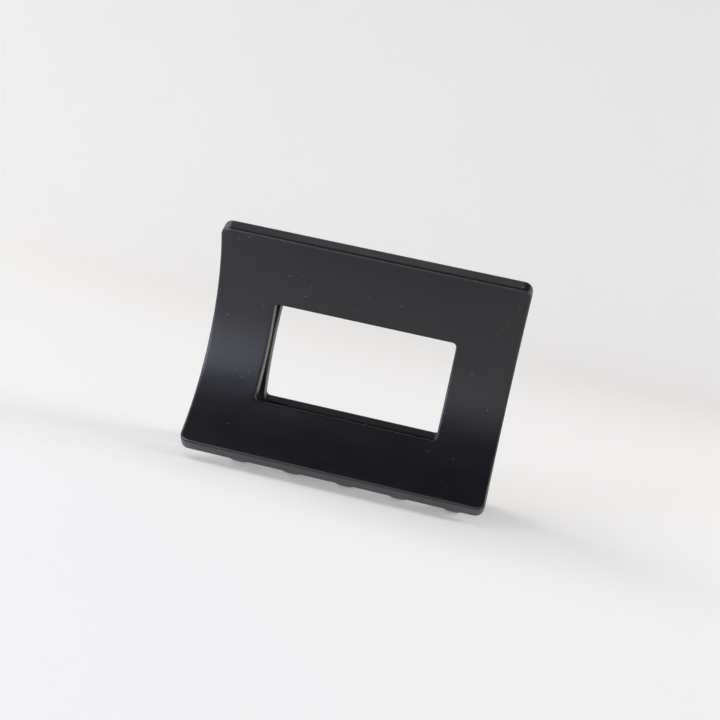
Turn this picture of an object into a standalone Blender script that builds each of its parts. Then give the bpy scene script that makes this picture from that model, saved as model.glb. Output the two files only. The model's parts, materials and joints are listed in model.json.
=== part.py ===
"""Rectangular claw clip: two identical curved jaws back to back on a steel pin, closed by a torsion spring.

Frame: metres, +Z from the teeth to the handles, X along the hinge pin, the front jaw on the -Y side.
The origin is on the ground under the middle of the clip, which stands on the undersides of its teeth.
"""
import math

import bmesh
import bpy
from mathutils import Matrix, Vector

MM = 0.001

# Jaw plate: a rectangle bent to a circular arc that is hollow on its outer side.
JAW_WIDTH = 62.0 * MM
FACE_RADIUS = 32.0 * MM            # radius of the hollow outer face
PLATE_THICKNESS = 2.9 * MM
HALF_ARC = math.radians(41.9)      # the plate reaches this far above and below its middle
LEAN = math.radians(1.5)           # tips each plate so that the teeth ends stand further apart
WAIST_GAP = 1.9 * MM               # between the two plates where they come closest
CORNER_RADIUS = 1.9 * MM
EDGE_ROUNDING = 0.35 * MM

# Window through each plate, measured along the arc from its middle.
WINDOW_HALF_WIDTH = 18.75 * MM
WINDOW_TOP_ANGLE = math.radians(15.4)
WINDOW_BOTTOM_ANGLE = math.radians(20.3)
WINDOW_CORNER_RADIUS = 0.9 * MM

# Teeth: a row of curved prongs on the inner face, a quarter pitch off centre so that the
# same jaw turned round puts its own teeth between them.
TEETH = 5
TOOTH_PITCH = 11.1 * MM
TOOTH_ROOT_ANGLE = math.radians(37.6)    # root centre on the arc, below the middle of the plate
TOOTH_BEND_RADIUS = 9.6 * MM
TOOTH_SWEEP = math.radians(64.0)
TOOTH_ROOT_WIDTH = 5.2 * MM
TOOTH_TIP_WIDTH = 3.4 * MM
TOOTH_ROOT_THICKNESS = 3.4 * MM
TOOTH_TIP_THICKNESS = 1.9 * MM
TOOTH_ROUND_STEPS = 16
TOOTH_BEND_STEPS = 9
TOOTH_BURIED = 1.2 * MM                  # length of the root inside the plate

# Hinge
PIVOT_ABOVE_WAIST = 14.5 * MM
EAR_RADIUS = 3.1 * MM
EAR_WIDTH = 2.4 * MM
EAR_FOOT = 5.2 * MM                      # half height of the ear where it meets the plate
OUTER_EAR_X = 9.0 * MM                   # centre of the ear on the side that carries the pin's head
INNER_EAR_X = 6.2 * MM                   # centre of the ear on the other side
PIN_RADIUS = 1.0 * MM
PIN_CLEARANCE = 0.25 * MM
PIN_HEAD_RADIUS = 1.9 * MM
PIN_HEAD_THICKNESS = 0.9 * MM

# Torsion spring
WIRE_RADIUS = 0.45 * MM
COIL_RADIUS = 2.15 * MM                  # to the middle of the wire
COIL_TURNS = 6.0
COIL_LENGTH = 7.4 * MM
LEG_GAP = 0.3 * MM                       # between a leg and the plate that it presses on
LEG_CONTACT_ANGLE = math.radians(33.0)   # where a leg meets its plate, above the waist

ARC_STEPS = 28
ROUND_STEPS = 24

INNER_RADIUS = FACE_RADIUS + PLATE_THICKNESS
CENTRE_OFFSET = WAIST_GAP / 2 + INNER_RADIUS       # arc centre from the middle plane between the jaws


def direction(angle):
    return Vector((math.cos(angle), math.sin(angle)))


def tooth_stations():
    """Stations along a front tooth: place (y, z) from the waist, heading, width and thickness.

    The tooth leaves the inner face squarely, buried a little in the plate, and bends up as a hook.
    """
    root = -(TOOTH_ROOT_ANGLE + LEAN)
    foot = INNER_RADIUS * direction(root) - Vector((CENTRE_OFFSET, 0.0))
    line = [(foot - TOOTH_BURIED * direction(root), root)]
    for step in range(TOOTH_BEND_STEPS + 1):
        heading = root + TOOTH_SWEEP * step / TOOTH_BEND_STEPS
        bend = Vector((math.sin(heading) - math.sin(root), math.cos(root) - math.cos(heading)))
        line.append((foot + TOOTH_BEND_RADIUS * bend, heading))
    stations = []
    for index, (place, heading) in enumerate(line):
        share = index / (len(line) - 1)
        width = TOOTH_ROOT_WIDTH + (TOOTH_TIP_WIDTH - TOOTH_ROOT_WIDTH) * share
        thickness = TOOTH_ROOT_THICKNESS + (TOOTH_TIP_THICKNESS - TOOTH_ROOT_THICKNESS) * share
        stations.append((place, heading, width, thickness))
    return stations


# The clip stands on the undersides of its teeth, so they set the height of the waist.
WAIST_HEIGHT = -min(place.y - thickness / 2 * math.cos(heading)
                    for place, heading, _, thickness in tooth_stations())
PIVOT = Vector((0.0, 0.0, WAIST_HEIGHT + PIVOT_ABOVE_WAIST))


def clear_scene():
    for scene_object in list(bpy.data.objects):
        bpy.data.objects.remove(scene_object, do_unlink=True)


def make_material(name, colour, roughness, metallic):
    material = bpy.data.materials.new(name)
    material.use_nodes = True
    shader = material.node_tree.nodes["Principled BSDF"]
    shader.inputs["Base Color"].default_value = (*colour, 1.0)
    shader.inputs["Roughness"].default_value = roughness
    shader.inputs["Metallic"].default_value = metallic
    return material


def link_mesh(name, bm):
    mesh = bpy.data.meshes.new(name)
    bmesh.ops.recalc_face_normals(bm, faces=bm.faces)
    bm.to_mesh(mesh)
    bm.free()
    new_object = bpy.data.objects.new(name, mesh)
    bpy.context.scene.collection.objects.link(new_object)
    return new_object


def evaluated_copy(source):
    graph = bpy.context.evaluated_depsgraph_get()
    return bpy.data.meshes.new_from_object(source.evaluated_get(graph))


def combine(base, others, operation):
    """Boolean the other objects into the base, keep the result and delete the others."""
    for other in others:
        modifier = base.modifiers.new(operation.title(), 'BOOLEAN')
        modifier.operation = operation
        modifier.solver = 'EXACT'
        modifier.object = other
    result = evaluated_copy(base)
    base.modifiers.clear()
    base.data = result
    for other in others:
        bpy.data.objects.remove(other, do_unlink=True)


def rounded_rectangle(half_width, low, high, radius, steps):
    """Corner-rounded outline in the plate's flat coordinates (x, along the arc), counter-clockwise."""
    corners = [(half_width, high, 0), (-half_width, high, 90),
               (-half_width, low, 180), (half_width, low, 270)]
    outline = []
    for x, s, start in corners:
        centre_x = x - math.copysign(radius, x)
        centre_s = s - radius if s == high else s + radius
        for step in range(steps + 1):
            angle = math.radians(start + 90 * step / steps)
            outline.append((centre_x + radius * math.cos(angle), centre_s + radius * math.sin(angle)))
    return outline


def flat_slab(name, outline, bottom, top):
    """An outline in x and s, extruded from depth bottom to depth top (kept in y)."""
    bm = bmesh.new()
    face = bm.faces.new([bm.verts.new((x, bottom, s)) for x, s in outline])
    grown = bmesh.ops.extrude_face_region(bm, geom=[face])
    moved = [item for item in grown["geom"] if isinstance(item, bmesh.types.BMVert)]
    bmesh.ops.translate(bm, verts=moved, vec=(0.0, top - bottom, 0.0))
    return link_mesh(name, bm)


def bend(mesh):
    """Wrap the flat plate (x, depth, s) round the arc of the front jaw. Depth 0 is the outer face."""
    bm = bmesh.new()
    bm.from_mesh(mesh)
    arc_length = FACE_RADIUS * HALF_ARC
    for step in range(1, ARC_STEPS):
        s = arc_length * (2 * step / ARC_STEPS - 1)
        geometry = bm.verts[:] + bm.edges[:] + bm.faces[:]
        bmesh.ops.bisect_plane(bm, geom=geometry, plane_co=(0, 0, s), plane_no=(0, 0, 1), dist=0.00001)
    bmesh.ops.triangulate(bm, faces=bm.faces)
    for vert in bm.verts:
        x, depth, s = vert.co
        angle = s / FACE_RADIUS - LEAN
        radius = FACE_RADIUS + depth
        vert.co = (x, -CENTRE_OFFSET + radius * math.cos(angle), WAIST_HEIGHT + radius * math.sin(angle))
    bm.to_mesh(mesh)
    bm.free()


def build_plate(name):
    arc_length = FACE_RADIUS * HALF_ARC
    plate = flat_slab(name, rounded_rectangle(JAW_WIDTH / 2, -arc_length, arc_length, CORNER_RADIUS, 5),
                      0.0, PLATE_THICKNESS)
    window = flat_slab("window_cutter",
                       rounded_rectangle(WINDOW_HALF_WIDTH, -FACE_RADIUS * WINDOW_BOTTOM_ANGLE,
                                         FACE_RADIUS * WINDOW_TOP_ANGLE, WINDOW_CORNER_RADIUS, 3),
                       -PLATE_THICKNESS, 2 * PLATE_THICKNESS)
    combine(plate, [window], 'DIFFERENCE')
    rounding = plate.modifiers.new("Edge rounding", 'BEVEL')
    rounding.width = EDGE_ROUNDING
    rounding.segments = 2
    rounding.limit_method = 'ANGLE'
    rounding.angle_limit = math.radians(60)
    mesh = evaluated_copy(plate)
    plate.modifiers.clear()
    plate.data = mesh
    bend(mesh)
    return plate


def build_tooth(centre_x):
    """A tapering prong of rounded section, swept along the tooth's middle line."""
    bm = bmesh.new()
    stations = tooth_stations()
    rings = [tooth_ring(bm, centre_x, *station) for station in stations]
    tip, heading, width, thickness = stations[-1]
    for step in range(1, 4):
        turn = math.radians(25 * step)
        ahead = tip + direction(heading) * thickness / 2 * math.sin(turn)
        shrink = math.cos(turn)
        rings.append(tooth_ring(bm, centre_x, ahead, heading, width * shrink, thickness * shrink))
    for lower, upper in zip(rings, rings[1:]):
        for index in range(len(lower)):
            after = (index + 1) % len(lower)
            bm.faces.new((lower[index], lower[after], upper[after], upper[index]))
    bm.faces.new(rings[0])
    bm.faces.new(rings[-1])
    return link_mesh("tooth", bm)


def tooth_ring(bm, centre_x, point, heading, width, thickness):
    """A superellipse across the tooth's heading: flat sides with well rounded corners."""
    up = Vector((-math.sin(heading), math.cos(heading)))
    ring = []
    for step in range(TOOTH_ROUND_STEPS):
        angle = 2 * math.pi * step / TOOTH_ROUND_STEPS
        across = math.copysign(abs(math.cos(angle)) ** 0.6, math.cos(angle)) * width / 2
        lift = math.copysign(abs(math.sin(angle)) ** 0.6, math.sin(angle)) * thickness / 2
        place = point + up * lift
        ring.append(bm.verts.new((centre_x + across, place.x, WAIST_HEIGHT + place.y)))
    return ring


def build_ear(centre_x):
    """An ear from the inner face to the pin: a round end that widens to a foot on the plate."""
    foot_y = []
    for side in (-1, 1):
        foot_z = PIVOT_ABOVE_WAIST + side * EAR_FOOT
        surface = -CENTRE_OFFSET + math.sqrt(INNER_RADIUS ** 2 - foot_z ** 2)
        foot_y.append((surface - 0.8 * MM, foot_z))
    outline = [foot_y[0]]
    for step in range(ROUND_STEPS // 2 + 1):
        angle = math.radians(-100 + 200 * step / (ROUND_STEPS // 2))
        outline.append((EAR_RADIUS * math.cos(angle), PIVOT_ABOVE_WAIST + EAR_RADIUS * math.sin(angle)))
    outline.append(foot_y[1])
    bm = bmesh.new()
    low = [bm.verts.new((centre_x - EAR_WIDTH / 2, y, WAIST_HEIGHT + z)) for y, z in outline]
    face = bm.faces.new(low)
    grown = bmesh.ops.extrude_face_region(bm, geom=[face])
    moved = [item for item in grown["geom"] if isinstance(item, bmesh.types.BMVert)]
    bmesh.ops.translate(bm, verts=moved, vec=(EAR_WIDTH, 0.0, 0.0))
    return link_mesh("ear", bm)


def rod(name, radius, low_x, high_x, steps=ROUND_STEPS):
    """A plain cylinder along X through the pivot."""
    bm = bmesh.new()
    middle = PIVOT + Vector(((low_x + high_x) / 2, 0, 0))
    place = Matrix.Translation(middle) @ Matrix.Rotation(math.pi / 2, 4, 'Y')
    bmesh.ops.create_cone(bm, cap_ends=True, segments=steps, radius1=radius, radius2=radius,
                          depth=high_x - low_x, matrix=place)
    return link_mesh(name, bm)


def build_jaw(name, material):
    jaw = build_plate(name)
    first = TOOTH_PITCH / 4 - TOOTH_PITCH * (TEETH - 1) / 2
    additions = [build_tooth(first + index * TOOTH_PITCH) for index in range(TEETH)]
    additions += [build_ear(-OUTER_EAR_X), build_ear(INNER_EAR_X)]
    combine(jaw, additions, 'UNION')
    bore = rod("bore_cutter", PIN_RADIUS + PIN_CLEARANCE, -JAW_WIDTH / 4, JAW_WIDTH / 4)
    combine(jaw, [bore], 'DIFFERENCE')
    jaw.data.materials.clear()
    jaw.data.materials.append(material)
    finish(jaw)
    return jaw


def set_origin(target, origin):
    """Move the object's origin to a point and leave its shape where it is."""
    target.data.transform(Matrix.Translation(-origin))
    target.location = origin


def finish(target):
    target.data.shade_smooth()
    target.data.set_sharp_from_angle(angle=math.radians(35))


def build_pin(material):
    """The steel pin, with a domed head outside each outer ear. Turned about its own axis."""
    head_from = OUTER_EAR_X + EAR_WIDTH / 2 + PIN_CLEARANCE
    half_profile = [(PIN_RADIUS, 0.0), (PIN_RADIUS, head_from), (PIN_HEAD_RADIUS, head_from)]
    for step in range(1, 5):
        angle = math.pi / 2 * step / 5
        dome_x = head_from + PIN_HEAD_THICKNESS * math.sin(angle)
        half_profile.append((PIN_HEAD_RADIUS * math.cos(angle), dome_x))
    profile = [(radius, -x) for radius, x in reversed(half_profile[1:])] + half_profile[1:]
    bm = bmesh.new()
    rings = []
    for radius, x in profile:
        ring = []
        for step in range(ROUND_STEPS):
            angle = 2 * math.pi * step / ROUND_STEPS
            ring.append(bm.verts.new((x, radius * math.cos(angle), radius * math.sin(angle))))
        rings.append(ring)
    for lower, upper in zip(rings, rings[1:]):
        for index in range(ROUND_STEPS):
            after = (index + 1) % ROUND_STEPS
            bm.faces.new((lower[index], lower[after], upper[after], upper[index]))
    bm.faces.new(rings[0])
    bm.faces.new(rings[-1])
    pin = link_mesh("hinge_pin", bm)
    pin.location = PIVOT
    pin.data.materials.append(material)
    finish(pin)
    return pin


def leg_end(side):
    """Where a leg presses: just off the inner face of the jaw on that side (-1 front, 1 rear)."""
    radius = INNER_RADIUS + WIRE_RADIUS + LEG_GAP
    y = CENTRE_OFFSET - radius * math.cos(LEG_CONTACT_ANGLE)
    z = radius * math.sin(LEG_CONTACT_ANGLE) - PIVOT_ABOVE_WAIST
    return Vector((0.0, side * y, z))


def build_spring(material):
    """Close-wound coil round the pin with a straight leg at each end, one towards each handle."""
    leg = {side: leg_end(side) for side in (-1, 1)}
    reach = leg[1].yz.length
    swing = math.acos(COIL_RADIUS / reach)
    # Each leg leaves the coil at the point where the line to its end is tangent to the coil.
    leave_front = math.atan2(leg[-1].z, leg[-1].y) - swing
    leave_rear = math.atan2(leg[1].z, leg[1].y) + swing
    turns = 2 * math.pi * COIL_TURNS
    total = turns + (leave_front - leave_rear) % (2 * math.pi)
    points = []
    steps = int(18 * total / (2 * math.pi))
    points.append(Vector((COIL_LENGTH / 2, leg[1].y, leg[1].z)))
    for step in range(steps + 1):
        share = step / steps
        angle = leave_rear + total * share
        points.append(Vector((COIL_LENGTH * (0.5 - share), COIL_RADIUS * math.cos(angle),
                              COIL_RADIUS * math.sin(angle))))
    points.append(Vector((-COIL_LENGTH / 2, leg[-1].y, leg[-1].z)))
    curve = bpy.data.curves.new("torsion_spring", 'CURVE')
    curve.dimensions = '3D'
    curve.bevel_depth = WIRE_RADIUS
    curve.bevel_resolution = 2
    curve.use_fill_caps = True
    spline = curve.splines.new('POLY')
    spline.points.add(len(points) - 1)
    for target, point in zip(spline.points, points):
        target.co = (*point, 1.0)
    spring = bpy.data.objects.new("torsion_spring", curve)
    bpy.context.scene.collection.objects.link(spring)
    spring.location = PIVOT
    curve.materials.append(material)
    return spring


def main():
    clear_scene()
    plastic = make_material("satin_black_plastic", (0.018, 0.018, 0.02), 0.42, 0.0)
    steel = make_material("bright_steel", (0.62, 0.62, 0.63), 0.28, 1.0)
    front_jaw = build_jaw("front_jaw", plastic)
    set_origin(front_jaw, PIVOT)
    rear_jaw = bpy.data.objects.new("rear_jaw", front_jaw.data)
    bpy.context.scene.collection.objects.link(rear_jaw)
    rear_jaw.location = PIVOT
    rear_jaw.rotation_euler = (0.0, 0.0, math.pi)
    build_pin(steel)
    build_spring(steel)


main()
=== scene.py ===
"""Looks of the claw clip: finely modelled satin black jaws, steel pin and spring on a pale studio floor.

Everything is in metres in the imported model's frame: +Z from the teeth to the handles, X along the
hinge pin, the front jaw on the -Y side.
"""
import json
import math

import bmesh
import bpy
from mathutils import Matrix, Vector, noise


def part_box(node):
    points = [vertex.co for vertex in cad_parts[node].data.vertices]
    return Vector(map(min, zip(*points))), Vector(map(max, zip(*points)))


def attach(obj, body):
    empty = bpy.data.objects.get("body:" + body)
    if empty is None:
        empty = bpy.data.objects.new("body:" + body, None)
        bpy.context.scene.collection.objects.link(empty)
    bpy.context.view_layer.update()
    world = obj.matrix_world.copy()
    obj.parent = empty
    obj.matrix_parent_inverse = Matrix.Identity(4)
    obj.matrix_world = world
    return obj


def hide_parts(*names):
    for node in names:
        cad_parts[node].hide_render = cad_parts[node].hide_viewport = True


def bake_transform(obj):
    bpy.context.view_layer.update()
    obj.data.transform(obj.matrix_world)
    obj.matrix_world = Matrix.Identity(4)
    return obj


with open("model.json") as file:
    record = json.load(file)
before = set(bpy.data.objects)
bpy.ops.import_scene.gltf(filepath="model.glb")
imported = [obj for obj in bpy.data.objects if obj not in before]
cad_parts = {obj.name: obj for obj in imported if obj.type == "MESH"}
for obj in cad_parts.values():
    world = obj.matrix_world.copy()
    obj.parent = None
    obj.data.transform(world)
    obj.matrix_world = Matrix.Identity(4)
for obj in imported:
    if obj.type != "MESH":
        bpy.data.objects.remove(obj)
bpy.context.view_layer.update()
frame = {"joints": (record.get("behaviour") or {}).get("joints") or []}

MM = 0.001

# The clip's driving sizes, the same as the CAD model's.
FACE_RADIUS = 32.0 * MM
PLATE_THICKNESS = 2.9 * MM
HALF_ARC = math.radians(41.9)
LEAN = math.radians(1.5)
WAIST_GAP = 1.9 * MM
CORNER_RADIUS = 1.9 * MM
WINDOW_HALF_WIDTH = 18.75 * MM
WINDOW_TOP_ANGLE = math.radians(15.4)
WINDOW_BOTTOM_ANGLE = math.radians(20.3)
WINDOW_CORNER_RADIUS = 0.9 * MM
TEETH = 5
TOOTH_PITCH = 11.1 * MM
TOOTH_ROOT_ANGLE = math.radians(37.6)
TOOTH_BEND_RADIUS = 9.6 * MM
TOOTH_SWEEP = math.radians(64.0)
TOOTH_ROOT_WIDTH = 5.2 * MM
TOOTH_TIP_WIDTH = 3.4 * MM
TOOTH_ROOT_THICKNESS = 3.4 * MM
TOOTH_TIP_THICKNESS = 1.9 * MM
TOOTH_BURIED = 1.2 * MM
PIVOT_ABOVE_WAIST = 14.5 * MM
EAR_RADIUS = 3.1 * MM
EAR_WIDTH = 2.4 * MM
EAR_FOOT = 5.2 * MM
OUTER_EAR_X = 9.0 * MM
INNER_EAR_X = 6.2 * MM
PIN_RADIUS = 1.0 * MM
PIN_CLEARANCE = 0.25 * MM
PIN_HEAD_RADIUS = 1.9 * MM
PIN_HEAD_THICKNESS = 0.9 * MM
WIRE_RADIUS = 0.45 * MM
COIL_RADIUS = 2.15 * MM
COIL_TURNS = 6.0
COIL_LENGTH = 7.4 * MM
LEG_GAP = 0.3 * MM
LEG_CONTACT_ANGLE = math.radians(33.0)

# Finer than the CAD model: how the edges are rounded and how finely things are divided.
FRONT_EDGE_ROUNDING = 0.55 * MM
BACK_EDGE_ROUNDING = 0.35 * MM
WINDOW_EDGE_ROUNDING = 0.40 * MM
HOLDING_LOOP = 0.25 * MM         # an extra line beside each rounding keeps the flat part flat
NICK_DEPTH = 0.05 * MM
NICK_CELLS = (900, 2500)         # cells per metre along the edge and through the plate
NICK_PATCH_CELLS = (260, 900)
NICK_PATCH_SHIFT = 7             # moves the patches off the pattern of the nicks themselves
NICK_RARITY = 0.1
NICK_GAIN = 3
NICK_SLANT = 0.7                 # how far a dent also moves the edge back from the face
EAR_SOFTNESS = 0.28 * MM
EAR_BURIED = 0.8 * MM            # how far an ear's foot reaches into the plate
EAR_END_DEGREES = 100            # the round end of an ear turns this far to either side
EAR_MIDDLE_DEPTH = 2.0 * MM      # an ear's outline shrinks towards a point this far from the pivot
PIN_LIP = 0.12 * MM
TOOTH_FLARE = 1.0 * MM           # how much wider a tooth is at its root
TOOTH_FLARE_LENGTH = 1.1 * MM    # how far along the tooth that reaches
TOOTH_FLARE_THICKENING = 0.6     # share of the flare that is added to the thickness, on the upper side
TOOTH_SECTION_POWER = 0.62       # 1 gives an oval section, and less a squarer one
TIP_STEP_DEGREES = 14
WIRE_END_SHARE = 0.8             # the wire's cut ends are this much thinner
SHARP_DEGREES = 40               # an edge that turns more than this is shaded as a corner

UPRIGHT_STEPS = 64
LEVEL_STEPS = 130
CORNER_STEPS = 6
FACE_STEPS = 14
FRONT_EDGE_STEPS = 6
BACK_EDGE_STEPS = 4
WINDOW_EDGE_STEPS = 5
TOOTH_BEND_STEPS = 22
TOOTH_TIP_STEPS = 6
TOOTH_RING_POINTS = 32
EAR_END_STEPS = 28
EAR_SIDE_STEPS = 4
ROUND_STEPS = 48
DOME_STEPS = 11
COIL_TURN_STEPS = 40
LEG_STEPS = 12
WIRE_RING_POINTS = 16

INNER_RADIUS = FACE_RADIUS + PLATE_THICKNESS
CENTRE_OFFSET = WAIST_GAP / 2 + INNER_RADIUS
ARC_LENGTH = FACE_RADIUS * HALF_ARC

hinge = frame["joints"][0]
PIVOT = Vector(hinge["pos_m"])
WAIST_HEIGHT = PIVOT.z - PIVOT_ABOVE_WAIST
LOWER_EDGE_TOP = WAIST_HEIGHT - FACE_RADIUS * math.sin(HALF_ARC + LEAN)
jaw_low, jaw_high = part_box("front_jaw")
JAW_WIDTH = jaw_high.x - jaw_low.x
HALF_TURN = Matrix.Rotation(math.pi, 4, 'Z')


# ---------------------------------------------------------------- meshes

def link_mesh(name, bm, sharp_degrees=SHARP_DEGREES):
    bmesh.ops.recalc_face_normals(bm, faces=bm.faces)
    mesh = bpy.data.meshes.new(name)
    bm.to_mesh(mesh)
    bm.free()
    mesh.shade_smooth()
    mesh.set_sharp_from_angle(angle=math.radians(sharp_degrees))
    piece = bpy.data.objects.new(name, mesh)
    bpy.context.scene.collection.objects.link(piece)
    return piece


def loft(bm, rings, closed=False):
    """Join rings of equal length into a skin, with end caps unless the rings close on themselves."""
    count = len(rings[0])
    pairs = list(zip(rings, rings[1:]))
    if closed:
        pairs.append((rings[-1], rings[0]))
    for lower, upper in pairs:
        for index in range(count):
            after = (index + 1) % count
            bm.faces.new((lower[index], lower[after], upper[after], upper[index]))
    if not closed:
        bm.faces.new(rings[0])
        bm.faces.new(rings[-1])


def boolean(base, others, operation):
    """Add the other solids to the base, or cut them from it, and remove them."""
    for other in others:
        modifier = base.modifiers.new(operation.title(), 'BOOLEAN')
        modifier.operation = operation
        modifier.solver = 'EXACT'
        modifier.object = other
    graph = bpy.context.evaluated_depsgraph_get()
    base.data = bpy.data.meshes.new_from_object(base.evaluated_get(graph))
    base.modifiers.clear()
    for other in others:
        bpy.data.objects.remove(other, do_unlink=True)


def direction(angle):
    return Vector((math.cos(angle), math.sin(angle)))


def bent(x, depth, s):
    """The place on the front jaw's arc of a point x across, s up and some depth below the outer face."""
    angle = s / FACE_RADIUS - LEAN
    radius = FACE_RADIUS + depth
    return Vector((x, -CENTRE_OFFSET + radius * math.cos(angle), WAIST_HEIGHT + radius * math.sin(angle)))


# ---------------------------------------------------------------- the plate

def outline(half_width, low, high, radius):
    """Points (x, s) and outward normals round a corner-rounded rectangle, counter-clockwise."""
    corners = [(half_width, high, 0, LEVEL_STEPS), (-half_width, high, 90, UPRIGHT_STEPS),
               (-half_width, low, 180, LEVEL_STEPS), (half_width, low, 270, UPRIGHT_STEPS)]
    arcs = []
    for x, s, start, _ in corners:
        centre = Vector((x - math.copysign(radius, x), s - radius if s == high else s + radius))
        normals = [direction(math.radians(start + 90 * step / CORNER_STEPS))
                   for step in range(CORNER_STEPS + 1)]
        arcs.append([(centre + radius * normal, normal) for normal in normals])
    points = []
    for index, arc in enumerate(arcs):
        points += arc
        here, normal = arc[-1]
        there = arcs[(index + 1) % 4][0][0]
        steps = corners[index][3]
        points += [(here.lerp(there, step / steps), normal) for step in range(1, steps)]
    return points


def rounding(edge, inward, radius, steps, from_face=True):
    """Stations (place, drop below the face) of a quarter turn from the face to the wall, or back again."""
    stations = []
    for step in range(steps + 1):
        turn = math.pi / 2 * step / steps
        if not from_face:
            turn = math.pi / 2 - turn
        place = edge + inward * radius * (1 - math.sin(turn))
        stations.append((place, radius * (1 - math.cos(turn))))
    return stations


def on_back(stations):
    """The same stations, measured from the inner face instead of the outer one."""
    return [(place, PLATE_THICKNESS - drop) for place, drop in stations]


def across_face(start, end, depth):
    """Stations over a flat face between two roundings, with a holding line beside each."""
    margin = HOLDING_LOOP / (end - start).length
    shares = [margin]
    shares += [margin + (1 - 2 * margin) * step / FACE_STEPS for step in range(1, FACE_STEPS)]
    shares += [1 - margin]
    return [(start.lerp(end, share), depth) for share in shares]


def worn(place, depth, outward):
    """An edge station pressed into the material by the small dents and flats that handling leaves."""
    along, through = NICK_CELLS
    rough = noise.noise(Vector((place.x * along, place.y * along, depth * through)))
    along, through = NICK_PATCH_CELLS
    rare = noise.noise(Vector((place.x * along + NICK_PATCH_SHIFT, place.y * along, depth * through)))
    dent = NICK_DEPTH * max(0.0, rough) * max(0.0, rare - NICK_RARITY) * NICK_GAIN
    return place - outward * dent, depth + dent * NICK_SLANT


def build_plate(name):
    """The bent plate with its window, as one skin that runs round the ring and round its section."""
    outer = outline(JAW_WIDTH / 2, -ARC_LENGTH, ARC_LENGTH, CORNER_RADIUS)
    window = outline(WINDOW_HALF_WIDTH, -FACE_RADIUS * WINDOW_BOTTOM_ANGLE, FACE_RADIUS * WINDOW_TOP_ANGLE,
                     WINDOW_CORNER_RADIUS)
    middle = PLATE_THICKNESS / 2
    back_line = PLATE_THICKNESS - BACK_EDGE_ROUNDING - HOLDING_LOOP
    bm = bmesh.new()
    rings = []
    for (edge, outward), (sill, away) in zip(outer, window):
        front_sill = rounding(sill, away, WINDOW_EDGE_ROUNDING, WINDOW_EDGE_STEPS, from_face=False)
        front_rim = rounding(edge, -outward, FRONT_EDGE_ROUNDING, FRONT_EDGE_STEPS)
        back_rim = on_back(rounding(edge, -outward, BACK_EDGE_ROUNDING, BACK_EDGE_STEPS, from_face=False))
        back_sill = on_back(rounding(sill, away, BACK_EDGE_ROUNDING, BACK_EDGE_STEPS))
        stations = front_sill + across_face(front_sill[-1][0], front_rim[0][0], 0.0)
        stations += [worn(place, depth, outward) for place, depth in front_rim]
        stations += [(edge, FRONT_EDGE_ROUNDING + HOLDING_LOOP), (edge, middle), (edge, back_line)]
        stations += back_rim + across_face(back_rim[-1][0], back_sill[0][0], PLATE_THICKNESS) + back_sill
        stations += [(sill, back_line), (sill, middle), (sill, WINDOW_EDGE_ROUNDING + HOLDING_LOOP)]
        rings.append([bm.verts.new(bent(place.x, depth, place.y)) for place, depth in stations])
    loft(bm, rings, closed=True)
    return link_mesh(name, bm)


# ---------------------------------------------------------------- teeth and ears

def tooth_stations():
    """Stations along a front tooth: place (y, z) from the waist, heading, width and thickness.

    The root widens into the inner face like a moulded fillet.
    """
    root = -(TOOTH_ROOT_ANGLE + LEAN)
    foot = INNER_RADIUS * direction(root) - Vector((CENTRE_OFFSET, 0.0))
    line = [(foot - TOOTH_BURIED * direction(root), root, 0.0)]
    for step in range(TOOTH_BEND_STEPS + 1):
        heading = root + TOOTH_SWEEP * step / TOOTH_BEND_STEPS
        bend = Vector((math.sin(heading) - math.sin(root), math.cos(root) - math.cos(heading)))
        line.append((foot + TOOTH_BEND_RADIUS * bend, heading, step / TOOTH_BEND_STEPS))
    stations = []
    for place, heading, along in line:
        share = (1 + 9 * along) / 10             # a tenth of the taper is used up inside the plate
        flare = TOOTH_FLARE * max(0.0, 1 - along * TOOTH_BEND_RADIUS * TOOTH_SWEEP / TOOTH_FLARE_LENGTH) ** 2
        width = TOOTH_ROOT_WIDTH + (TOOTH_TIP_WIDTH - TOOTH_ROOT_WIDTH) * share + flare
        thickness = TOOTH_ROOT_THICKNESS + (TOOTH_TIP_THICKNESS - TOOTH_ROOT_THICKNESS) * share
        up = Vector((-math.sin(heading), math.cos(heading)))
        stations.append((place + up * flare * (TOOTH_FLARE_THICKENING / 2), heading, width,
                         thickness + flare * TOOTH_FLARE_THICKENING))
    return stations


def squarish(value):
    return math.copysign(abs(value) ** TOOTH_SECTION_POWER, value)


def tooth_ring(bm, centre_x, place, heading, width, thickness):
    up = Vector((-math.sin(heading), math.cos(heading)))
    ring = []
    for step in range(TOOTH_RING_POINTS):
        angle = 2 * math.pi * step / TOOTH_RING_POINTS
        across = squarish(math.cos(angle)) * width / 2
        lift = squarish(math.sin(angle)) * thickness / 2
        point = place + up * lift
        ring.append(bm.verts.new((centre_x + across, point.x, WAIST_HEIGHT + point.y)))
    return ring


def build_tooth(centre_x):
    """A tooth along its stations, with a rounded tip."""
    bm = bmesh.new()
    stations = tooth_stations()
    rings = [tooth_ring(bm, centre_x, *station) for station in stations]
    tip, heading, width, thickness = stations[-1]
    for step in range(1, TOOTH_TIP_STEPS + 1):
        turn = math.radians(TIP_STEP_DEGREES * step)
        ahead = tip + direction(heading) * thickness / 2 * math.sin(turn)
        shrink = math.cos(turn)
        rings.append(tooth_ring(bm, centre_x, ahead, heading, width - thickness * (1 - shrink),
                                thickness * shrink))
    loft(bm, rings)
    return link_mesh("tooth", bm)


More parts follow.
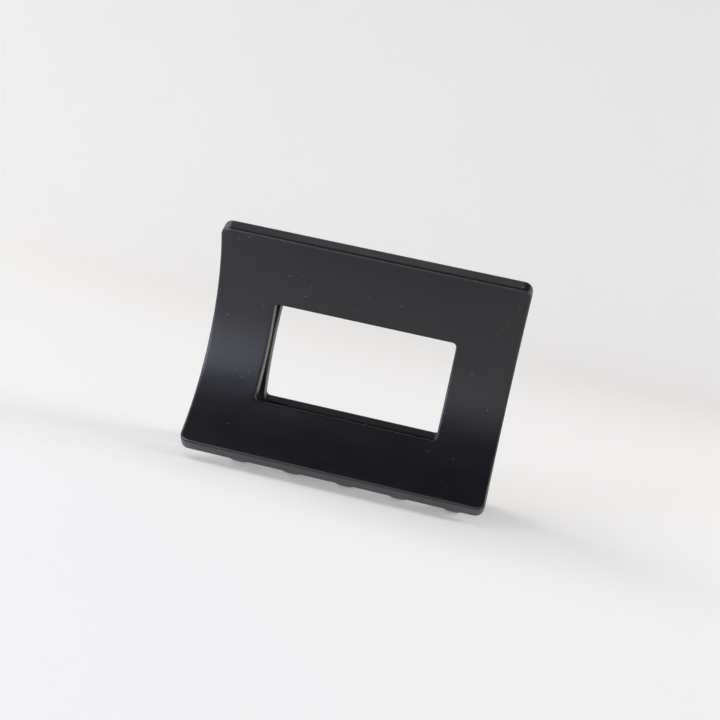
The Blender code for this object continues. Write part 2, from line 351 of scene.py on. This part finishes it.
def build_ear(centre_x):
    """A hinge ear with a round end, softened along both of its sides."""
    feet = []
    for side in (-1, 1):
        foot_z = PIVOT_ABOVE_WAIST + side * EAR_FOOT
        surface = -CENTRE_OFFSET + math.sqrt(INNER_RADIUS ** 2 - foot_z ** 2)
        feet.append(Vector((surface - EAR_BURIED, foot_z)))
    profile = [feet[0]]
    for step in range(EAR_END_STEPS + 1):
        angle = math.radians(-EAR_END_DEGREES + 2 * EAR_END_DEGREES * step / EAR_END_STEPS)
        profile.append(Vector((0.0, PIVOT_ABOVE_WAIST)) + EAR_RADIUS * direction(angle))
    profile.append(feet[1])
    middle = Vector((-EAR_MIDDLE_DEPTH, PIVOT_ABOVE_WAIST))
    turns = [math.pi / (2 * EAR_SIDE_STEPS) * step for step in range(EAR_SIDE_STEPS + 1)]
    bm = bmesh.new()
    rings = []
    for side, order in ((-1, turns), (1, turns[::-1])):
        for turn in order:
            x = centre_x + side * (EAR_WIDTH / 2 - EAR_SOFTNESS * (1 - math.cos(turn)))
            inset = EAR_SOFTNESS * (1 - math.sin(turn))
            places = [point + (middle - point).normalized() * inset for point in profile]
            rings.append([bm.verts.new((x, place.x, WAIST_HEIGHT + place.y)) for place in places])
    loft(bm, rings)
    return link_mesh("ear", bm)


def build_bore():
    """The round hole for the pin, as a solid long enough to pass through both ears of a jaw."""
    radius = PIN_RADIUS + PIN_CLEARANCE
    bm = bmesh.new()
    place = Matrix.Translation(PIVOT) @ Matrix.Rotation(math.pi / 2, 4, 'Y')
    bmesh.ops.create_cone(bm, cap_ends=True, segments=ROUND_STEPS, radius1=radius, radius2=radius,
                          depth=JAW_WIDTH / 2, matrix=place)
    return link_mesh("bore", bm)


def build_jaw(name):
    """The front jaw as one moulding: plate, teeth and ears joined, and the ears bored."""
    jaw = build_plate(name)
    first = TOOTH_PITCH / 4 - TOOTH_PITCH * (TEETH - 1) / 2
    additions = [build_tooth(first + index * TOOTH_PITCH) for index in range(TEETH)]
    additions += [build_ear(-OUTER_EAR_X), build_ear(INNER_EAR_X)]
    boolean(jaw, additions, 'UNION')
    boolean(jaw, [build_bore()], 'DIFFERENCE')
    jaw.data.shade_smooth()
    jaw.data.set_sharp_from_angle(angle=math.radians(SHARP_DEGREES))
    return jaw


# ---------------------------------------------------------------- pin and spring

def build_pin():
    """The pin with its two domed heads, turned about the hinge axis."""
    head_from = OUTER_EAR_X + EAR_WIDTH / 2 + PIN_CLEARANCE
    half = [(PIN_RADIUS, head_from - PIN_LIP), (PIN_RADIUS + PIN_LIP / 2, head_from),
            (PIN_HEAD_RADIUS - PIN_LIP, head_from), (PIN_HEAD_RADIUS, head_from + PIN_LIP)]
    for step in range(1, DOME_STEPS):
        angle = math.pi / 2 * step / DOME_STEPS
        half.append((PIN_HEAD_RADIUS * math.cos(angle),
                     head_from + PIN_LIP + (PIN_HEAD_THICKNESS - PIN_LIP) * math.sin(angle)))
    profile = [(radius, -x) for radius, x in reversed(half)] + half
    bm = bmesh.new()
    rings = []
    for radius, x in profile:
        ring = [radius * direction(2 * math.pi * step / ROUND_STEPS) for step in range(ROUND_STEPS)]
        rings.append([bm.verts.new(PIVOT + Vector((x, *point))) for point in ring])
    loft(bm, rings)
    return link_mesh("hinge_pin_fine", bm)


def leg_end(side):
    """Where a leg ends, from the pivot, just short of the rear (1) or front (-1) handle's inner face."""
    radius = INNER_RADIUS + WIRE_RADIUS + LEG_GAP
    y = CENTRE_OFFSET - radius * math.cos(LEG_CONTACT_ANGLE)
    return Vector((0.0, side * y, radius * math.sin(LEG_CONTACT_ANGLE) - PIVOT_ABOVE_WAIST))


def spring_route():
    """Middle line of the wire about the pivot: rear leg, coil towards -X, front leg."""
    rear, front = leg_end(1), leg_end(-1)
    swing = math.acos(COIL_RADIUS / rear.yz.length)
    leave_rear = math.atan2(rear.z, rear.y) + swing
    leave_front = math.atan2(front.z, front.y) - swing
    total = 2 * math.pi * COIL_TURNS + (leave_front - leave_rear) % (2 * math.pi)
    steps = int(COIL_TURN_STEPS * total / (2 * math.pi))
    coil = []
    for step in range(steps + 1):
        share = step / steps
        turn = COIL_RADIUS * direction(leave_rear + total * share)
        coil.append(Vector((COIL_LENGTH * (0.5 - share), turn.x, turn.y)))
    rear.x, front.x = COIL_LENGTH / 2, -COIL_LENGTH / 2
    first, last = coil[0], coil[-1]
    rear_leg = [rear.lerp(first, step / LEG_STEPS) for step in range(LEG_STEPS)]
    front_leg = [last.lerp(front, step / LEG_STEPS) for step in range(1, LEG_STEPS + 1)]
    return rear_leg + coil + front_leg


def build_spring():
    """The wire as a tube carried along its route, with its cut ends slightly rounded."""
    route = spring_route()
    bm = bmesh.new()
    rings = []
    side = Vector((1.0, 0.0, 0.0))
    angles = [2 * math.pi * step / WIRE_RING_POINTS for step in range(WIRE_RING_POINTS)]
    last = len(route) - 1
    for index, point in enumerate(route):
        ahead = (route[min(index + 1, last)] - route[max(index - 1, 0)]).normalized()
        side = (side - ahead * side.dot(ahead)).normalized()
        across = ahead.cross(side)
        radius = WIRE_RADIUS * (WIRE_END_SHARE if index in (0, last) else 1.0)
        ring = [radius * (side * math.cos(angle) + across * math.sin(angle)) for angle in angles]
        rings.append([bm.verts.new(PIVOT + point + offset) for offset in ring])
    loft(bm, rings)
    return link_mesh("torsion_spring_fine", bm, sharp_degrees=60)


# ---------------------------------------------------------------- materials

# Colours are linear, and scales are in cells per metre along X, Y and Z.
DEEP_BLACK = (0.0044, 0.0037, 0.0053, 1.0)
SOFT_BLACK = (0.0058, 0.0050, 0.0069, 1.0)
# the grey of dust, which the painted highlight and the painted floor light also blend towards
DUST_AND_PAINTED_LIGHT_GREY = (0.36, 0.36, 0.37, 1.0)
CLOUD_SCALE = 90.0
GRAIN_SCALE = 5200.0
# patches along the edges that are rubbed, and painted paler as a highlight
RUB_AND_HIGHLIGHT_SCALE = 700.0
SHEEN_CELLS = (120.0, 120.0, 320.0)
DUST_CELLS = (620.0, 620.0, 620.0)
UPRIGHT_HAIR_CELLS = (1500.0, 1500.0, 230.0)
UPRIGHT_HAIR_TURN = (0.5, 0.25, 0.1)
LEVEL_HAIR_CELLS = (260.0, 1700.0, 1700.0)
LEVEL_HAIR_TURN = (0.1, 0.6, 0.4)
DUST_SHARE = 0.22                # the share of the cells that have a mark
UPRIGHT_HAIR_SHARE = 0.16
LEVEL_HAIR_SHARE = 0.10
DUST_SIZE = 0.066                # radii of the marks, as a share of a cell
HAIR_SIZE = 0.085
DUST_STRENGTH = 0.80             # how far each kind of mark, and each painted light, takes the black towards the grey
HAIR_STRENGTH = 0.50
# painted light: pales the lower edge's end face, in place of the bright floor it reflects
PAINTED_FLOOR_LIGHT_STRENGTH = 0.13
# partly edge wear, partly a painted highlight along the roundings
RUB_AND_HIGHLIGHT_STRENGTH = 0.085
SMOOTHEST_PLASTIC = 0.34
ROUGHEST_PLASTIC = 0.40
GRAIN_ROUGHNESS = 0.03           # the grain varies the roughness by this much either way
RUB_POLISH = 0.10                # and rubbing lowers it by this much
PLASTIC_IOR = 1.5
PIN_COLOUR = (0.60, 0.60, 0.61)
PIN_ROUGHNESS = 0.26
PIN_STREAKS = (400.0, 5000.0, 5000.0)
WIRE_COLOUR = (0.55, 0.55, 0.57)
WIRE_ROUGHNESS = 0.22
WIRE_STREAKS = (6000.0, 900.0, 900.0)
TARNISH_SCALE = 500.0
TARNISH = 0.72
FLOOR_TONES = ((0.805, 0.795, 0.785, 1.0), (0.82, 0.81, 0.80, 1.0))
FLOOR_TONE_SCALE = 6.0
FLOOR_GLOW_COLOUR = (1.0, 0.975, 0.935, 1.0)
FLOOR_GLOW = 0.275               # the floor is a lit table, which keeps its shadows faint


class Shader:
    """A small helper that adds nodes to a material and joins them."""

    def __init__(self, name):
        self.material = bpy.data.materials.new(name)
        self.material.use_nodes = True
        self.tree = self.material.node_tree
        self.surface = self.tree.nodes["Principled BSDF"]

    def node(self, kind, inputs=None, **settings):
        made = self.tree.nodes.new(kind)
        for key, value in settings.items():
            setattr(made, key, value)
        for socket, value in (inputs or {}).items():
            self.join(value, made.inputs[socket])
        return made

    def join(self, value, socket):
        if isinstance(value, bpy.types.NodeSocket):
            self.tree.links.new(value, socket)
        else:
            socket.default_value = value

    def place(self):
        return self.node("ShaderNodeTexCoord").outputs["Object"]

    def noise(self, vector, scale, detail=3.0, roughness=0.5):
        made = self.node("ShaderNodeTexNoise", {"Vector": vector, "Scale": scale, "Detail": detail,
                                                "Roughness": roughness})
        return made.outputs["Fac"]

    def span(self, value, low, high, out_low, out_high):
        made = self.node("ShaderNodeMapRange", {"Value": value, "From Min": low, "From Max": high,
                                                "To Min": out_low, "To Max": out_high})
        return made.outputs["Result"]

    def math(self, operation, first, second):
        return self.node("ShaderNodeMath", {0: first, 1: second}, operation=operation).outputs[0]

    def blend(self, share, first, second):
        made = self.node("ShaderNodeMix", data_type='RGBA')
        self.join(share, made.inputs["Factor"])
        self.join(first, made.inputs["A"])
        self.join(second, made.inputs["B"])
        return made.outputs["Result"]

    def stretch(self, vector, scale, rotation=(0.0, 0.0, 0.0)):
        made = self.node("ShaderNodeMapping", {"Vector": vector, "Scale": scale, "Rotation": rotation})
        return made.outputs["Vector"]


def depth_below_face(shader, place):
    """How far a point of either jaw lies below its hollow outer face, in millimetres."""
    parts = shader.node("ShaderNodeSeparateXYZ", {"Vector": place}).outputs
    across = shader.math('SUBTRACT', CENTRE_OFFSET, shader.math('ABSOLUTE', parts["Y"], 0.0))
    upward = shader.math('SUBTRACT', parts["Z"], WAIST_HEIGHT)
    squares = shader.math('ADD', shader.math('MULTIPLY', across, across),
                          shader.math('MULTIPLY', upward, upward))
    radius = shader.math('SQRT', squares, 0.0)
    return shader.math('DIVIDE', shader.math('SUBTRACT', radius, FACE_RADIUS), MM)


def specks(shader, vector, share, radius):
    """Sparse small dots, one in a given share of the cells of the vector's space."""
    cells = shader.node("ShaderNodeTexVoronoi", {"Vector": vector, "Scale": 1.0, "Randomness": 1.0})
    dot = shader.span(cells.outputs["Distance"], radius * 0.6, radius, 1.0, 0.0)
    pick = shader.node("ShaderNodeSeparateColor", {"Color": cells.outputs["Color"]}).outputs[0]
    return shader.math('MULTIPLY', dot, shader.math('LESS_THAN', pick, share))


def satin_plastic():
    """Moulded black plastic: a satin bloom, dust, short hair scratches, and edges rubbed a little shinier and
    painted a little paler as a painted highlight.

    The end face of the lower edge is painted a paler grey, a painted light standing in for the bright floor
    that it reflects.
    """
    shader = Shader("satin_black_plastic")
    place = shader.place()
    cloud = shader.noise(place, CLOUD_SCALE, 2.0)
    grain = shader.noise(place, GRAIN_SCALE, 3.0, 0.6)
    shade = shader.blend(shader.span(cloud, 0.35, 0.65, 0.0, 1.0), DEEP_BLACK, SOFT_BLACK)

    dust = specks(shader, shader.stretch(place, DUST_CELLS), DUST_SHARE, DUST_SIZE)
    upright = shader.stretch(place, UPRIGHT_HAIR_CELLS, UPRIGHT_HAIR_TURN)
    level = shader.stretch(place, LEVEL_HAIR_CELLS, LEVEL_HAIR_TURN)
    hairs = shader.math('MAXIMUM', specks(shader, upright, UPRIGHT_HAIR_SHARE, HAIR_SIZE),
                        specks(shader, level, LEVEL_HAIR_SHARE, HAIR_SIZE))

    depth = depth_below_face(shader, place)
    # The roundings of the edges: rubbed a little shinier, and their colour painted paler in patches as a
    # painted highlight line.
    rise = shader.span(depth, 0.01, 0.06, 0.0, 1.0)
    fall = shader.span(depth, 0.10, 0.26, 1.0, 0.0)
    patchy = shader.span(shader.noise(place, RUB_AND_HIGHLIGHT_SCALE, 3.0, 0.7), 0.35, 0.75, 0.15, 1.0)
    rubbed_and_highlit = shader.math('MULTIPLY', shader.math('MULTIPLY', rise, fall), patchy)

    # Painted light: the end face of the lower edge is painted paler, in place of the bright floor it
    # reflects.
    height = shader.node("ShaderNodeSeparateXYZ", {"Vector": place}).outputs["Z"]
    low = shader.span(height, LOWER_EDGE_TOP, LOWER_EDGE_TOP + 0.8 * MM, 1.0, 0.0)
    back = PLATE_THICKNESS / MM
    wall = shader.math('MULTIPLY', shader.span(depth, 0.30, 0.55, 0.0, 1.0),
                       shader.span(depth, back - 0.3, back, 1.0, 0.0))
    painted_floor_light = shader.math('MULTIPLY', low, wall)

    # Dust and hairs, the painted highlight on the edges and the painted floor light on the lower edge all
    # pale the black towards one grey.
    marks_and_painted_light = shader.math('MULTIPLY', dust, DUST_STRENGTH)
    for pale_layer, strength in ((hairs, HAIR_STRENGTH), (painted_floor_light, PAINTED_FLOOR_LIGHT_STRENGTH), (rubbed_and_highlit, RUB_AND_HIGHLIGHT_STRENGTH)):
        marks_and_painted_light = shader.math('MAXIMUM', marks_and_painted_light, shader.math('MULTIPLY', pale_layer, strength))
    shader.join(shader.blend(marks_and_painted_light, shade, DUST_AND_PAINTED_LIGHT_GREY), shader.surface.inputs["Base Color"])

    sheen = shader.noise(shader.stretch(place, SHEEN_CELLS), 1.0, 2.0)
    rough = shader.math('ADD', shader.span(sheen, 0.3, 0.7, SMOOTHEST_PLASTIC, ROUGHEST_PLASTIC),
                        shader.span(grain, 0.3, 0.7, -GRAIN_ROUGHNESS, GRAIN_ROUGHNESS))
    rough = shader.math('SUBTRACT', rough, shader.math('MULTIPLY', rubbed_and_highlit, RUB_POLISH))
    shader.join(rough, shader.surface.inputs["Roughness"])

    relief = shader.math('ADD', shader.math('MULTIPLY', grain, 0.8), shader.math('MULTIPLY', dust, 1.5))
    bump = shader.node("ShaderNodeBump", {"Height": relief, "Strength": 0.25, "Distance": 0.02 * MM})
    shader.join(bump.outputs["Normal"], shader.surface.inputs["Normal"])
    shader.surface.inputs["IOR"].default_value = PLASTIC_IOR
    return shader.material


def drawn_steel(name, colour, roughness, streaks):
    """Bright drawn steel with fine streaks along the metal and slightly darker tarnish in patches."""
    shader = Shader(name)
    place = shader.place()
    patch = shader.noise(place, TARNISH_SCALE, 3.0)
    tarnished = tuple(channel * TARNISH for channel in colour)
    base = shader.blend(shader.span(patch, 0.35, 0.7, 0.0, 1.0), (*colour, 1.0), (*tarnished, 1.0))
    shader.join(base, shader.surface.inputs["Base Color"])
    streak = shader.noise(shader.stretch(place, streaks), 1.0, 3.0)
    shader.join(shader.span(streak, 0.3, 0.7, roughness - 0.04, roughness + 0.06),
                shader.surface.inputs["Roughness"])
    shader.surface.inputs["Metallic"].default_value = 1.0
    bump = shader.node("ShaderNodeBump", {"Height": streak, "Strength": 0.1, "Distance": 0.004 * MM})
    shader.join(bump.outputs["Normal"], shader.surface.inputs["Normal"])
    return shader.material


def pale_backdrop():
    """Matt off-white that is lit a little from within."""
    shader = Shader("pale_backdrop")
    tone = shader.noise(shader.place(), FLOOR_TONE_SCALE, 2.0)
    shade = shader.blend(shader.span(tone, 0.3, 0.7, 0.0, 1.0), *FLOOR_TONES)
    shader.join(shade, shader.surface.inputs["Base Color"])
    shader.surface.inputs["Emission Color"].default_value = FLOOR_GLOW_COLOUR
    shader.surface.inputs["Emission Strength"].default_value = FLOOR_GLOW
    shader.surface.inputs["Roughness"].default_value = 0.9
    shader.surface.inputs["Specular IOR Level"].default_value = 0.2
    return shader.material


# ---------------------------------------------------------------- studio

FLOOR_RADIUS = 0.50
SWEEP_REACH = 0.32
WALL_FRONT = 0.23                # height of the backdrop behind the camera
WALL_BACK = 0.52                 # and behind the clip
FLOOR_RINGS = (0.02, 0.15, FLOOR_RADIUS)
BACKDROP_STEPS = 96
SWEEP_STEPS = 24
WORLD_COLOUR = (0.06, 0.06, 0.068, 1.0)
CAMERA_DISTANCE = 0.2252
CAMERA_AZIMUTH = math.radians(6.54)
CAMERA_ELEVATION = math.radians(5.44)
CAMERA_ROLL = math.radians(11.93)
CAMERA_LENS = 55.0
CAMERA_SENSOR = 36.0


def build_backdrop():
    """A round floor that sweeps up into a wall on every side, highest behind the clip."""
    bm = bmesh.new()
    rings = []
    for radius in FLOOR_RINGS:
        rings.append([bm.verts.new((*(radius * direction(2 * math.pi * step / BACKDROP_STEPS)), 0.0))
                      for step in range(BACKDROP_STEPS)])
    for step in range(1, SWEEP_STEPS + 1):
        turn = math.pi / 2 * step / SWEEP_STEPS
        radius = FLOOR_RADIUS + SWEEP_REACH * math.sin(turn)
        ring = []
        for column in range(BACKDROP_STEPS):
            around = direction(2 * math.pi * column / BACKDROP_STEPS)
            height = WALL_FRONT + (WALL_BACK - WALL_FRONT) * (1 + around.y) / 2
            ring.append(bm.verts.new((*(radius * around), height * (1 - math.cos(turn)))))
        rings.append(ring)
    for lower, upper in zip(rings, rings[1:]):
        for index in range(BACKDROP_STEPS):
            after = (index + 1) % BACKDROP_STEPS
            bm.faces.new((lower[index], lower[after], upper[after], upper[index]))
    bm.faces.new(rings[0])
    floor = link_mesh("floor", bm, sharp_degrees=60)
    floor.data.materials.append(pale_backdrop())


def softbox(name, place, target, width, height, radiance, colour=(1.0, 1.0, 1.0)):
    """A flat soft light of a given brightness, turned to face a target and hidden from the camera."""
    light = bpy.data.lights.new(name, 'AREA')
    light.shape = 'RECTANGLE'
    light.size = width
    light.size_y = height
    light.energy = math.pi * width * height * radiance
    light.color = colour
    lamp = bpy.data.objects.new(name, light)
    lamp.location = place
    lamp.rotation_euler = (Vector(target) - Vector(place)).to_track_quat('-Z', 'Y').to_euler()
    lamp.visible_camera = False
    bpy.context.scene.collection.objects.link(lamp)


def build_lights():
    softbox("key", place=(-0.55, 0.10, 0.55), target=(0, 0.05, 0), width=0.50, height=0.50, radiance=2.9)
    softbox("front_window", place=(-0.30, -0.34, 0.09), target=(0, -0.05, 0.02), width=0.30, height=0.16,
            radiance=9.0, colour=(0.82, 0.92, 1.16))
    softbox("front_band", place=(0.12, -0.70, 0.06), target=(0, 0, 0.03), width=0.80, height=0.11,
            radiance=2.2)
    softbox("overhead", place=(-0.05, 0.16, 0.75), target=(0, 0, 0), width=0.34, height=0.34, radiance=1.1)
    softbox("right_rim", place=(0.50, 0.05, 0.30), target=(0, 0, 0.02), width=0.24, height=0.24, radiance=6.8)
    world = bpy.data.worlds.new("studio")
    world.use_nodes = True
    world.node_tree.nodes["Background"].inputs["Color"].default_value = WORLD_COLOUR
    bpy.context.scene.world = world


def build_camera():
    """The camera at the photograph's angle on the clip, rolled because the clip stands upright here."""
    aim = Vector((0.0, 0.0, WAIST_HEIGHT))
    outward = Vector((math.sin(CAMERA_AZIMUTH) * math.cos(CAMERA_ELEVATION),
                      -math.cos(CAMERA_AZIMUTH) * math.cos(CAMERA_ELEVATION), math.sin(CAMERA_ELEVATION)))
    right = Vector((0.0, 0.0, 1.0)).cross(outward).normalized()
    up = outward.cross(right)
    rolled_right = right * math.cos(CAMERA_ROLL) + up * math.sin(CAMERA_ROLL)
    rolled_up = up * math.cos(CAMERA_ROLL) - right * math.sin(CAMERA_ROLL)
    camera = bpy.data.objects.new("camera", bpy.data.cameras.new("camera"))
    camera.data.lens = CAMERA_LENS
    camera.data.sensor_width = CAMERA_SENSOR
    camera.data.clip_start = 0.005
    turn = Matrix((rolled_right, rolled_up, outward)).transposed()
    camera.matrix_world = Matrix.Translation(aim + outward * CAMERA_DISTANCE) @ turn.to_4x4()
    bpy.context.scene.collection.objects.link(camera)
    bpy.context.scene.camera = camera


# ---------------------------------------------------------------- assembly

def dress(piece, material):
    piece.data.materials.clear()
    piece.data.materials.append(material)


def build_clip():
    """Build the four pieces, dress them and hand the jaws and the pin to their bodies."""
    plastic = satin_plastic()
    front = build_jaw("front_jaw_fine")
    rear = bpy.data.objects.new("rear_jaw_fine", front.data.copy())
    bpy.context.scene.collection.objects.link(rear)
    rear.data.transform(HALF_TURN)
    for jaw, node, body in ((front, "front_jaw", "front"), (rear, "rear_jaw", "rear")):
        dress(jaw, plastic)
        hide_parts(node)
        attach(jaw, body)
    pin = build_pin()
    dress(pin, drawn_steel("pin_steel", PIN_COLOUR, PIN_ROUGHNESS, PIN_STREAKS))
    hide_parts("hinge_pin")
    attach(pin, "rear")
    spring = build_spring()
    dress(spring, drawn_steel("spring_steel", WIRE_COLOUR, WIRE_ROUGHNESS, WIRE_STREAKS))
    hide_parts("torsion_spring")
    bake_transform(spring)


build_camera()
build_clip()
build_backdrop()
build_lights()
bpy.context.scene.view_settings.view_transform = 'Standard'
